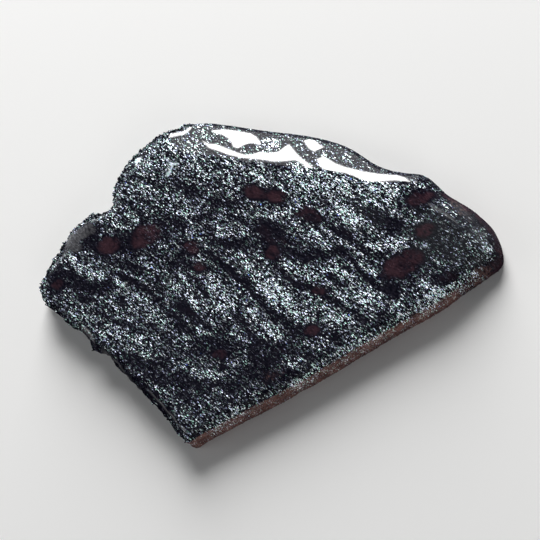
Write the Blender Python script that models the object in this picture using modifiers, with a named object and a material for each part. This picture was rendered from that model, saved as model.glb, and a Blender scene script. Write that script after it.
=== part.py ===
"""A polished slab of specular hematite: one stone, lying on its sawn back.

The frame is in metres with +Z up. The sawn back lies on z = 0, the origin is under the middle
of the slab's box, and +X runs along the slab's length. Sizes below are in millimetres.

The rim goes clockwise, seen from above, and is made up of:
- a broken edge up the left side, with ledges and notches and one small flat ground beside a notch,
- a shoulder along the far side, ground and polished with the face, which narrows at a waist to a knuckle,
- a blunt rounded tip at the right,
- a nearly straight sawn edge along the front right, with a narrow chamfer, down to a sharp corner,
- a broken edge along the front left, a little undercut.
"""

import math
from typing import NamedTuple

import bmesh
import bpy
import numpy as np
from mathutils import Vector, noise

MM = 0.001

THICKNESS = 7.0  # from the sawn back to the polished face
SAW_ALLOWANCE = 1.0  # extra stone under the base plane, which the last cut removes
RIM_STEP = 1.5  # longest step between two points of the rim line
VOXEL = 0.65  # grain of the mesh that is shaped
TRIANGLES = 8200  # what the shaped mesh is thinned to

WAVE_HEIGHT = 0.16  # how far the polished face rolls up and down
WAVE_LENGTH = 17.0

BREAK_REACH = 2.6  # how far in from the rim the broken relief fades out
LAYER_LENGTH = 5.5  # the layers of the broken edge: their length along the rim
LAYER_HEIGHT = 1.5  # and their thickness
LAYER_SHARE = 0.65  # how much of the relief is layers
LAYER_EDGE = 2.4  # how sharply one layer steps to the next
LUMP_SIZE = 2.6
LUMP_SHARE = 0.7
CHIP_SIZE = 3.4
CHIP_DEPTH = 1.8

FLAT_START = Vector((-42.6, 4.0))  # the inner edge of the small flat that is ground beside the left notch
FLAT_END = Vector((-36.8, 12.6))
FLAT_SLOPE = 0.6  # how steeply it falls outwards


class Rim(NamedTuple):
    """How the slab ends at a stretch of its rim, in millimetres."""

    width: float  # how far in the polished face starts to fall
    drop: float  # how far it has fallen at the rim
    power: float  # 1 falls in a straight chamfer, and 2 in a round shoulder
    relief: float  # how far the broken ledges stand in and out
    undercut: float  # how far the base is set back under the rim


class Stretch(NamedTuple):
    """A run of the rim, clockwise, through points (x, y)."""

    rim: Rim
    smooth: bool
    points: tuple


STRETCHES = {
    "left_break": Stretch(
        Rim(width=2.4, drop=1.1, power=1.6, relief=0.85, undercut=0.5),
        False,
        (
            (-47.5, -3.2),
            (-46.8, 0.0),
            (-45.3, 3.0),
            (-43.4, 4.8),
            (-44.0, 7.0),
            (-43.2, 9.5),
            (-40.5, 11.2),
            (-37.5, 13.0),
            (-33.5, 14.5),
            (-33.5, 17.2),
            (-31.5, 22.5),
            (-29.0, 26.5),
            (-25.0, 30.0),
            (-19.0, 33.4),
        ),
    ),
    "far_shoulder": Stretch(
        Rim(width=9.0, drop=3.5, power=1.45, relief=0.0, undercut=0.0),
        True,
        ((-16.0, 34.2), (-10.5, 33.5), (-2.0, 32.0), (7.5, 30.5)),
    ),
    "narrowing_shoulder": Stretch(
        Rim(width=7.0, drop=2.8, power=1.45, relief=0.0, undercut=0.0),
        True,
        ((15.5, 27.8),),
    ),
    "waist": Stretch(
        Rim(width=4.8, drop=1.9, power=1.5, relief=0.0, undercut=0.0),
        True,
        ((22.5, 23.2),),
    ),
    "knuckle": Stretch(
        Rim(width=2.6, drop=1.3, power=1.5, relief=0.0, undercut=0.0),
        True,
        ((27.5, 21.5), (32.3, 20.7)),
    ),
    "rounded_tip": Stretch(
        Rim(width=5.0, drop=4.0, power=1.7, relief=0.06, undercut=0.0),
        True,
        ((36.5, 17.5), (42.5, 13.5), (46.5, 9.0), (47.7, 4.0), (45.7, 1.7)),
    ),
    "sawn_edge": Stretch(
        Rim(width=1.6, drop=1.3, power=1.1, relief=0.10, undercut=0.0),
        True,
        ((40.0, -2.5), (35.5, -6.0), (28.0, -10.5), (15.5, -18.5), (5.5, -24.5), (-8.0, -32.2)),
    ),
    "front_corner": Stretch(
        Rim(width=1.6, drop=1.0, power=1.3, relief=0.2, undercut=0.0),
        False,
        ((-11.3, -34.4),),
    ),
    "front_break": Stretch(
        Rim(width=1.6, drop=0.7, power=1.5, relief=0.55, undercut=1.1),
        False,
        (
            (-15.5, -30.0),
            (-23.0, -23.0),
            (-26.5, -20.0),
            (-30.0, -17.0),
            (-33.0, -16.0),
            (-36.0, -13.0),
            (-39.5, -10.5),
            (-45.0, -6.5),
        ),
    ),
}


def curve_point(before, start, end, after, share):
    """A point of the Catmull-Rom curve from start to end, at this share of the way."""
    return 0.5 * (
        2 * start
        + (end - before) * share
        + (2 * before - 5 * start + 4 * end - after) * share**2
        + (3 * start - before - 3 * end + after) * share**3
    )


def rim_line():
    """The closed rim as rows: x and y, then the five sizes of the Rim there."""
    corners = [
        (np.array(point), np.array(stretch.rim), stretch.smooth)
        for stretch in STRETCHES.values()
        for point in stretch.points
    ]
    rows = []
    for i, (start, rim, smooth) in enumerate(corners):
        before, after = corners[i - 1], corners[(i + 2) % len(corners)]
        end, next_rim, next_smooth = corners[(i + 1) % len(corners)]
        steps = max(1, round(np.linalg.norm(end - start) / RIM_STEP))
        for step in range(steps):
            share = step / steps
            if smooth and next_smooth:
                point = curve_point(before[0], start, end, after[0], share)
            else:
                point = start + (end - start) * share
            rows.append(np.concatenate([point, rim + (next_rim - rim) * share]))
    return np.array(rows)


def outward(rim):
    """The outward normal at each point of the rim, which runs clockwise."""
    along = np.roll(rim[:, :2], -1, axis=0) - np.roll(rim[:, :2], 1, axis=0)
    normal = np.stack([-along[:, 1], along[:, 0]], axis=1)
    return normal / np.linalg.norm(normal, axis=1, keepdims=True)


def nearest_rim(points, rim):
    """For each point: its distance to the rim, the Rim and normal there, and how far the face falls."""
    normals = outward(rim)
    distance = np.full(len(points), np.inf)
    sizes = np.zeros((len(points), len(Rim._fields)))
    normal = np.zeros((len(points), 2))
    fall = np.zeros(len(points))
    for i in range(len(rim)):
        j = (i + 1) % len(rim)
        start, span = rim[i, :2], rim[j, :2] - rim[i, :2]
        share = np.clip((points - start) @ span / (span @ span), 0, 1)[:, None]
        gap = np.linalg.norm(points - start - share * span, axis=1)
        here = rim[i, 2:] + share * (rim[j, 2:] - rim[i, 2:])
        width, drop, power = here[:, 0], here[:, 1], here[:, 2]
        fall = np.maximum(fall, drop * np.clip(1 - gap / width, 0, 1) ** power)
        closer = gap < distance
        distance[closer] = gap[closer]
        sizes[closer] = here[closer]
        normal[closer] = (normals[i] + share * (normals[j] - normals[i]))[closer]
    return distance, sizes, normal, fall


def face_wave(x, y):
    """The slow roll of the polished face."""
    return WAVE_HEIGHT * noise.noise(Vector((x, y, 0)) / WAVE_LENGTH)


def flat_fall(x, y):
    """How far the small ground flat lies under the face."""
    edge, spot = FLAT_END - FLAT_START, Vector((x, y)) - FLAT_START
    if not 0 < spot.dot(edge) < edge.length_squared:
        return 0.0
    return FLAT_SLOPE * max(0.0, edge.cross(spot) / edge.length)


def broken_relief(x, y, z):
    """The layers and lumps of a broken edge, from about -1 to 1."""
    layer = noise.noise(Vector((x / LAYER_LENGTH, y / LAYER_LENGTH, z / LAYER_HEIGHT)))
    step = math.copysign(math.sqrt(min(1.0, abs(layer) * LAYER_EDGE)), layer)
    lump = noise.noise(Vector((x, y, z + THICKNESS)) / LUMP_SIZE)
    return LAYER_SHARE * step + LUMP_SHARE * lump


def chip(x, y):
    """How deep the rim of the face is chipped, from 0 to about 1."""
    return CHIP_DEPTH * max(0.0, noise.noise(Vector((x, y, THICKNESS)) / CHIP_SIZE))


def make_blank(rim):
    """The sawn blank: the rim's outline as a filled flat curve, extruded, as a closed mesh."""
    curve = bpy.data.curves.new("blank_outline", "CURVE")
    curve.dimensions = "2D"
    curve.fill_mode = "BOTH"
    curve.extrude = (THICKNESS + SAW_ALLOWANCE) / 2 * MM
    line = curve.splines.new("POLY")
    line.points.add(len(rim) - 1)
    for spot, (x, y) in zip(line.points, rim[:, :2], strict=True):
        spot.co = (x * MM, y * MM, 0, 1)
    line.use_cyclic_u = True
    outline = bpy.data.objects.new("blank_outline", curve)
    bpy.context.scene.collection.objects.link(outline)
    outline.location.z = (THICKNESS - SAW_ALLOWANCE) / 2 * MM
    graph = bpy.context.evaluated_depsgraph_get()
    mesh = bpy.data.meshes.new_from_object(outline.evaluated_get(graph))
    mesh.transform(outline.matrix_world)
    bpy.data.objects.remove(outline)
    shape = bmesh.new()
    shape.from_mesh(mesh)
    bmesh.ops.remove_doubles(shape, verts=shape.verts, dist=0.01 * MM)
    shape.to_mesh(mesh)
    shape.free()
    return mesh


def keep_modifier(slab, kind, **settings):
    """Puts one modifier on the slab and keeps its result as the slab's mesh."""
    modifier = slab.modifiers.new(kind.lower(), kind)
    for name, value in settings.items():
        setattr(modifier, name, value)
    graph = bpy.context.evaluated_depsgraph_get()
    old = slab.data
    slab.data = bpy.data.meshes.new_from_object(slab.evaluated_get(graph))
    slab.modifiers.clear()
    bpy.data.meshes.remove(old)


def shape_stone(mesh, rim):
    """Moves the blank's points: the face falls to the rim and rolls, and the broken edges get relief."""
    points = np.empty(len(mesh.vertices) * 3)
    mesh.vertices.foreach_get("co", points)
    points = points.reshape(-1, 3) / MM
    distance, sizes, normal, fall = nearest_rim(points[:, :2], rim)
    for i, (x, y, z) in enumerate(points):
        here = Rim(*sizes[i])
        near = max(0.0, 1 - distance[i] / BREAK_REACH)
        drop = max(fall[i] + here.relief * near * chip(x, y), flat_fall(x, y))
        top = THICKNESS + face_wave(x, y) - drop
        height = max(0.0, z / THICKNESS)
        push = here.relief * broken_relief(x, y, z) - here.undercut * (1 - height)
        points[i, :2] += normal[i] * push * near
        points[i, 2] = height * top if z > 0 else z
    mesh.vertices.foreach_set("co", (points * MM).ravel())
    mesh.update()


def saw_base(mesh):
    """Cuts the slab flat on z = 0 and closes the cut."""
    shape = bmesh.new()
    shape.from_mesh(mesh)
    cut = bmesh.ops.bisect_plane(
        shape,
        geom=shape.verts[:] + shape.edges[:] + shape.faces[:],
        dist=0.002 * MM,
        plane_co=(0, 0, 0),
        plane_no=(0, 0, 1),
        clear_inner=True,
    )
    edges = [part for part in cut["geom_cut"] if isinstance(part, bmesh.types.BMEdge)]
    bmesh.ops.contextual_create(shape, geom=edges)
    bmesh.ops.recalc_face_normals(shape, faces=shape.faces)
    shape.to_mesh(mesh)
    shape.free()


def hematite():
    """The stone's material: near-black metallic grey with a blue cast."""
    material = bpy.data.materials.new("specular_hematite")
    material.use_nodes = True
    shader = material.node_tree.nodes["Principled BSDF"]
    shader.inputs["Base Color"].default_value = (0.055, 0.065, 0.080, 1)
    shader.inputs["Metallic"].default_value = 0.7
    shader.inputs["Roughness"].default_value = 0.3
    return material


def main():
    for obj in list(bpy.data.objects):
        bpy.data.objects.remove(obj)
    collection = bpy.data.collections.new("specular_hematite_slab")
    bpy.context.scene.collection.children.link(collection)
    rim = rim_line()
    slab = bpy.data.objects.new("hematite_slab", make_blank(rim))
    collection.objects.link(slab)
    keep_modifier(slab, "REMESH", mode="VOXEL", voxel_size=VOXEL * MM)
    shape_stone(slab.data, rim)
    whole = sum(len(face.vertices) - 2 for face in slab.data.polygons)
    keep_modifier(slab, "DECIMATE", ratio=TRIANGLES / whole, use_collapse_triangulate=True)
    saw_base(slab.data)
    slab.data.materials.clear()
    slab.data.materials.append(hematite())
    slab.data.shade_smooth()
    slab.data.set_sharp_from_angle(angle=math.radians(35))


main()
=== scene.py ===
"""The finish of a polished slab of specular hematite, lying face up on its sawn back.

Plan positions and sizes are in millimetres in the slab's own frame: +X along its length, +Y towards
its polished shoulder and +Z out of its polished face. A span says where something starts and where
it is complete.
"""

import logging
import math
from contextlib import contextmanager
from dataclasses import dataclass, field
from enum import Enum
from typing import Iterator, Sequence

import bpy
import numpy as np
from mathutils import Matrix, Vector, noise


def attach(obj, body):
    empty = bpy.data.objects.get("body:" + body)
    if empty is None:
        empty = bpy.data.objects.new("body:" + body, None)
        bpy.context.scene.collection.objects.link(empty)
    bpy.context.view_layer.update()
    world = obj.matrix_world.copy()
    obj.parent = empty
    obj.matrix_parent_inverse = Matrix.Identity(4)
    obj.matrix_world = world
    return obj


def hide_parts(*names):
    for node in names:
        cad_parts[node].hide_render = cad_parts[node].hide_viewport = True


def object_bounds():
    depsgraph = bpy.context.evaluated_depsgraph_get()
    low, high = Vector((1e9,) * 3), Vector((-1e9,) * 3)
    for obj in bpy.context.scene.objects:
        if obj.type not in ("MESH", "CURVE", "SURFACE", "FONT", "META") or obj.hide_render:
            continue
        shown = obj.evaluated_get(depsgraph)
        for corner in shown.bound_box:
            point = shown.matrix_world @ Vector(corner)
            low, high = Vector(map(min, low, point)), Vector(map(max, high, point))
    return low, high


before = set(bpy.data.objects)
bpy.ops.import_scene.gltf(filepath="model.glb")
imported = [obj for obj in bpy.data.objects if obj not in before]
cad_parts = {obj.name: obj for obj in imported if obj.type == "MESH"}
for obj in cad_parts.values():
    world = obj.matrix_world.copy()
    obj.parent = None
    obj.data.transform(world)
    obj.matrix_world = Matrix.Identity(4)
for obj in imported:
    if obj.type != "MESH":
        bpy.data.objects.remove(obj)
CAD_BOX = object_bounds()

log = logging.getLogger("hematite_slab")

MM = 0.001
CAD_NODE = "hematite_slab"
BODY = "root"
FIELDS = ("shine", "maroon", "brown", "ground_and_glint", "fine", "painted_highlight", "bare", "polish")
HALVES = (0.5, 0.5, 0.5)

Colour = tuple[float, float, float]
Size = tuple[float, float, float]
Point = tuple[float, float]
Span = tuple[float, float]


def smooth_step(span: Span, value: np.ndarray) -> np.ndarray:
    """Rises smoothly from 0 at the span's start to 1 at its end."""
    share = np.clip((value - span[0]) / (span[1] - span[0]), 0.0, 1.0)
    return share * share * (3.0 - 2.0 * share)


# ---------------------------------------------------------------------------
# Shader maths
# ---------------------------------------------------------------------------


@dataclass(frozen=True)
class Grain:
    """A cloudy pattern in the stone.

    Attributes:
        size: its cells' length, width and height.
        turn: the direction of their length in degrees, anticlockwise from +X.
        detail: how many finer octaves it has.
        roughness: how strong those are.
    """

    size: Size
    turn: float = 0.0
    detail: float = 2.0
    roughness: float = 0.5


class Wire:
    """One output socket of a material, with arithmetic that adds Math nodes."""

    def __init__(self, sheet: "ShaderSheet", socket: bpy.types.NodeSocket) -> None:
        """Wraps an output socket of a sheet."""
        self.sheet = sheet
        self.socket = socket

    def __add__(self, other: "Wire | float") -> "Wire":
        """Sum."""
        return self.sheet.maths("ADD", self, other)

    def __radd__(self, other: float) -> "Wire":
        """Sum, from the right."""
        return self.sheet.maths("ADD", other, self)

    def __sub__(self, other: "Wire | float") -> "Wire":
        """Difference."""
        return self.sheet.maths("SUBTRACT", self, other)

    def __rsub__(self, other: float) -> "Wire":
        """Difference, from the right."""
        return self.sheet.maths("SUBTRACT", other, self)

    def __mul__(self, other: "Wire | float") -> "Wire":
        """Product."""
        return self.sheet.maths("MULTIPLY", self, other)

    def __rmul__(self, other: float) -> "Wire":
        """Product, from the right."""
        return self.sheet.maths("MULTIPLY", other, self)

    def centred(self) -> "Wire":
        """A value around 0.5, moved to lie around 0."""
        return self - 0.5

    def at_least(self, least: float) -> "Wire":
        """A value from 0 to 1, squeezed to run from least to 1."""
        return self * (1.0 - least) + least

    def ramp(self, span: Span) -> "Wire":
        """Rises smoothly from 0 to 1.

        Args:
            span: where it starts and where it ends.

        Returns:
            The result.
        """
        settings = {"interpolation_type": "SMOOTHSTEP", "clamp": True}
        values = {"Value": self, "From Min": span[0], "From Max": span[1]}
        return Wire(self.sheet, self.sheet.node("ShaderNodeMapRange", settings, values).outputs["Result"])


class ShaderSheet:
    """A material's node sheet."""

    def __init__(self, name: str) -> None:
        """Makes a material with a bare Principled shader.

        Args:
            name: the material's name.
        """
        self.material = bpy.data.materials.new(name)
        self.material.use_nodes = True
        self.tree = self.material.node_tree
        self.shader = self.tree.nodes["Principled BSDF"]

    def node(
        self, kind: str, settings: dict | None = None, values: dict | None = None
    ) -> bpy.types.Node:
        """Adds a node.

        Args:
            kind: the node's type.
            settings: its settings, which are set first.
            values: what its sockets hold, by name or index: a Wire, a number or a tuple.

        Returns:
            The node.
        """
        made = self.tree.nodes.new(kind)
        for key, value in (settings or {}).items():
            setattr(made, key, value)
        for key, value in (values or {}).items():
            self.feed(made.inputs[key], value)
        return made

    def feed(self, socket: bpy.types.NodeSocket, value: "Wire | float | Sequence[float]") -> None:
        """Links a Wire to a socket, or sets the socket's own value.

        Args:
            socket: the input socket.
            value: a Wire, a number or a tuple.
        """
        if isinstance(value, Wire):
            self.tree.links.new(value.socket, socket)
        elif socket.type == "RGBA":
            socket.default_value = (*value[:3], 1.0)
        else:
            socket.default_value = value

    def finish(self, values: dict) -> None:
        """Feeds the sockets of the material's shader.

        Args:
            values: what the sockets hold, by name.
        """
        for name, value in values.items():
            self.feed(self.shader.inputs[name], value)

    def maths(self, operation: str, *values: "Wire | float") -> Wire:
        """A Math node's result."""
        made = self.node("ShaderNodeMath", {"operation": operation}, dict(enumerate(values)))
        return Wire(self, made.outputs[0])

    def vector(self, operation: str, *values: "Wire | Sequence[float]", **named: float) -> Wire:
        """A Vector Math node's result."""
        given = {**dict(enumerate(values)), **named}
        return Wire(self, self.node("ShaderNodeVectorMath", {"operation": operation}, given).outputs[0])

    def mix(
        self,
        share: "Wire | float",
        first: "Wire | Colour",
        second: "Wire | Colour",
        blend: str = "MIX",
    ) -> Wire:
        """Two colours mixed.

        Args:
            share: how much of the second is in the result.
            first: the colour at share 0.
            second: the colour at share 1.
            blend: the Mix node's way of mixing.

        Returns:
            The mixed colour.
        """
        factor, colour_a, colour_b, colour_out = 0, 6, 7, 2
        settings = {"data_type": "RGBA", "blend_type": blend, "clamp_result": False}
        made = self.node("ShaderNodeMix", settings, {factor: share, colour_a: first, colour_b: second})
        return Wire(self, made.outputs[colour_out])

    def grey(self, value: Wire) -> Wire:
        """A grey of this value."""
        made = self.node("ShaderNodeCombineColor", {"mode": "RGB"}, dict.fromkeys(range(3), value))
        return Wire(self, made.outputs[0])

    def position(self) -> Wire:
        """The place on the stone in millimetres."""
        place = self.node("ShaderNodeTexCoord")
        return self.vector("SCALE", Wire(self, place.outputs["Object"]), Scale=1.0 / MM)

    def attribute(self, name: str) -> Wire:
        """A number that the mesh carries at each of its points."""
        made = self.node("ShaderNodeAttribute", {"attribute_name": name})
        return Wire(self, made.outputs["Fac"])

    def parts(self, vector: Wire) -> tuple[Wire, Wire, Wire]:
        """The three parts of a vector or colour."""
        made = self.node("ShaderNodeSeparateXYZ", None, {0: vector})
        return tuple(Wire(self, output) for output in made.outputs)

    def stretched(self, place: Wire, size: Size, turn: float) -> Wire:
        """The place turned back by an angle about Z and divided by a cell's size along each axis."""
        values = {"Vector": place, "Rotation": (0.0, 0.0, math.radians(turn)), "Scale": size}
        return Wire(self, self.node("ShaderNodeMapping", {"vector_type": "TEXTURE"}, values).outputs[0])

    def cloud(self, place: Wire, grain: Grain) -> bpy.types.Node:
        """A Noise texture with this grain.

        Args:
            place: where it is read.
            grain: its size, direction and detail.

        Returns:
            The texture's node.
        """
        values = {
            "Vector": self.stretched(place, grain.size, grain.turn),
            "Scale": 1.0,
            "Detail": grain.detail,
            "Roughness": grain.roughness,
        }
        return self.node("ShaderNodeTexNoise", {"noise_dimensions": "3D"}, values)

    def shade(self, place: Wire, grain: Grain) -> Wire:
        """A Noise texture's value, from 0 to 1 around 0.5."""
        return Wire(self, self.cloud(place, grain).outputs["Fac"])

    def shifted(self, place: Wire, grain: Grain, reach: float) -> Wire:
        """The place, moved about by a Noise texture.

        Args:
            place: the place.
            grain: the texture's grain.
            reach: how far the texture moves it.

        Returns:
            The moved place.
        """
        drift = Wire(self, self.cloud(place, grain).outputs["Color"])
        return self.leaned(place, drift, reach)

    def leaned(self, vector: Wire, colour: Wire, reach: float) -> Wire:
        """A vector, moved by a random colour whose parts lie around 0.5."""
        centred = self.vector("SUBTRACT", colour, HALVES)
        return self.vector("ADD", vector, self.vector("SCALE", centred, Scale=reach))

    def cells(self, place: Wire) -> Wire:
        """A Voronoi texture's random colour for each of its unit cells.

        Args:
            place: where it is read.

        Returns:
            The colour.
        """
        settings = {"voronoi_dimensions": "3D", "feature": "F1"}
        made = self.node("ShaderNodeTexVoronoi", settings, {"Vector": place, "Scale": 1.0})
        return Wire(self, made.outputs["Color"])


# ---------------------------------------------------------------------------
# Where things lie on the face
# ---------------------------------------------------------------------------


def edge_distance(x: np.ndarray, y: np.ndarray, edge: Sequence[Point]) -> np.ndarray:
    """How far each place lies from an edge, in plan.

    Args:
        x: places along the slab.
        y: places across it.
        edge: the edge's points.

    Returns:
        One distance for each place.
    """
    nearest = np.full(len(x), np.inf)
    for (ax, ay), (bx, by) in zip(edge, edge[1:]):
        dx, dy = bx - ax, by - ay
        share = np.clip(((x - ax) * dx + (y - ay) * dy) / (dx * dx + dy * dy), 0.0, 1.0)
        nearest = np.minimum(nearest, np.hypot(x - ax - share * dx, y - ay - share * dy))
    return nearest


class Tone(Enum):
    """What a mark on the face holds."""

    # DARK and BRIGHT set where the flakes' painted glints are dimmer or brighter: partly how closely the
    # flakes lie, partly painted shade and painted glints of bands of flakes turned away from and towards
    # the light
    DARK = "hardly any flakes"
    BRIGHT = "closely packed flakes"
    MAROON = "dull earthy red hematite"
    BROWN = "iron-stained quartz"
    # SATIN: ground spots without flakes, and along the front rim a thin grey painted glint line
    SATIN = "a ground spot without flakes"
    FINE = "dull fine-grained hematite with small flakes"
    # MIRROR: a spot or line painted as bright as a glint, added to the flakes' painted glint
    MIRROR = "one broad mirror flake"


@dataclass(frozen=True)
class Lens:
    """A soft-edged oval patch on the face.

    Attributes:
        tone: what it holds.
        centre: its middle (x, y).
        half_length: half its length along its own direction.
        half_width: half its width.
        turn: its direction in degrees, anticlockwise from +X.
        strength: how fully it takes its tone.
        edge: where its soft edge starts and ends, in shares of its half size.
    """

    tone: Tone
    centre: Point
    half_length: float
    half_width: float
    turn: float
    strength: float
    edge: Span = (1.35, 0.55)

    def cover(self, x: np.ndarray, y: np.ndarray) -> np.ndarray:
        """How strongly each place is covered, from 0 to the lens's strength.

        Args:
            x: places along the slab.
            y: places across it.

        Returns:
            One number for each place.
        """
        angle = math.radians(self.turn)
        dx, dy = x - self.centre[0], y - self.centre[1]
        along = (dx * math.cos(angle) + dy * math.sin(angle)) / self.half_length
        across = (dy * math.cos(angle) - dx * math.sin(angle)) / self.half_width
        return self.strength * smooth_step(self.edge, np.hypot(along, across))


@dataclass(frozen=True)
class Seam:
    """A soft-edged seam along a line on the face, which thins out at both ends.

    Attributes:
        tone: what it holds.
        half_width: half its width in the middle.
        strength: how fully it takes its tone.
        points: the line's points.
        edge: where its soft edge starts and ends, in shares of its half width.
        ends: how far from its ends it starts and is complete, in the same shares.
        least: how much of its strength is left at its ends.
    """

    tone: Tone
    half_width: float
    strength: float
    points: tuple[Point, ...]
    edge: Span = (1.6, 0.5)
    ends: Span = (-1.0, 2.0)
    least: float = 0.4

    def cover(self, x: np.ndarray, y: np.ndarray) -> np.ndarray:
        """How strongly each place is covered, from 0 to the seam's strength.

        Args:
            x: places along the slab.
            y: places across it.

        Returns:
            One number for each place.
        """
        across = edge_distance(x, y, self.points) / self.half_width
        to_ends = [np.hypot(x - end[0], y - end[1]) for end in (self.points[0], self.points[-1])]
        taper = smooth_step(self.ends, np.minimum(*to_ends) / self.half_width)
        return self.strength * smooth_step(self.edge, across) * (self.least + (1.0 - self.least) * taper)


def lenses(tone: Tone, *rows: tuple[float, ...]) -> tuple[Lens, ...]:
    """Lenses of one tone: each row holds x, y, half length, half width, turn and strength."""
    return tuple(Lens(tone, row[:2], *row[2:]) for row in rows)


def seams(tone: Tone, *rows: tuple[float | Point, ...]) -> tuple[Seam, ...]:
    """Seams of one tone: each row holds half width, strength and then the line's points."""
    return tuple(Seam(tone, row[0], row[1], row[2:]) for row in rows)


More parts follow.
